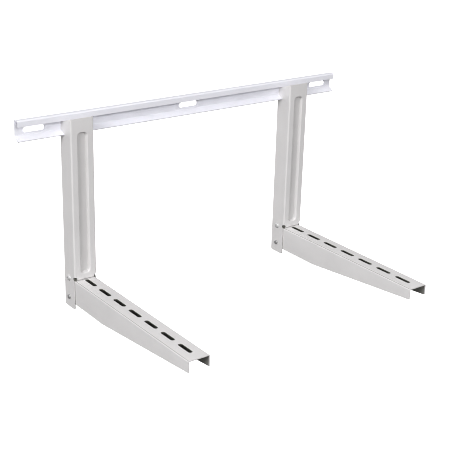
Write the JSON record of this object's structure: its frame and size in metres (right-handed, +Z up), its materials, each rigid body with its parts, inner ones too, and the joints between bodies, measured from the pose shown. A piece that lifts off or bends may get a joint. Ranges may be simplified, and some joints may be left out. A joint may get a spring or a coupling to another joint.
{
  "type": "air conditioner outdoor unit wall bracket",
  "caption": "Wall bracket for an air conditioner's outdoor unit: slotted rail with two hooked uprights and slotted tapered arms.",
  "frame": {"origin": "centre of the rail's middle wall slot, on the wall face", "axes": "+X along the rail to the right as seen from the front, +Y into the wall, +Z up"},
  "size_m": [0.8, 0.4466, 0.4094],
  "materials": {
    "rail_paint": "satin powder coat, cool light grey",
    "bracket_paint": "satin powder coat, light grey",
    "zinc_plate": "zinc plated"
  },
  "bodies": {
    "rail": {"wall_rail": "rail_paint"},
    "left_bracket": {"left_upright": "bracket_paint", "left_arm": "bracket_paint", "left_arm_rivets": "zinc_plate", "left_arm_bolts": "zinc_plate", "left_bolt_washers": "zinc_plate", "left_bolt_nuts": "zinc_plate"},
    "right_bracket": {"right_upright": "bracket_paint", "right_arm": "bracket_paint", "right_arm_rivets": "zinc_plate", "right_arm_bolts": "zinc_plate", "right_bolt_washers": "zinc_plate", "right_bolt_nuts": "zinc_plate"}
  },
  "joints": [
    {"name": "left_bracket_slide", "type": "slide", "parent": "rail", "child": "left_bracket", "axis": [1, 0, 0], "range_m": [-0.034, 0.225]},
    {"name": "right_bracket_slide", "type": "slide", "parent": "rail", "child": "right_bracket", "axis": [1, 0, 0], "range_m": [-0.222, 0.038]}
  ]
}
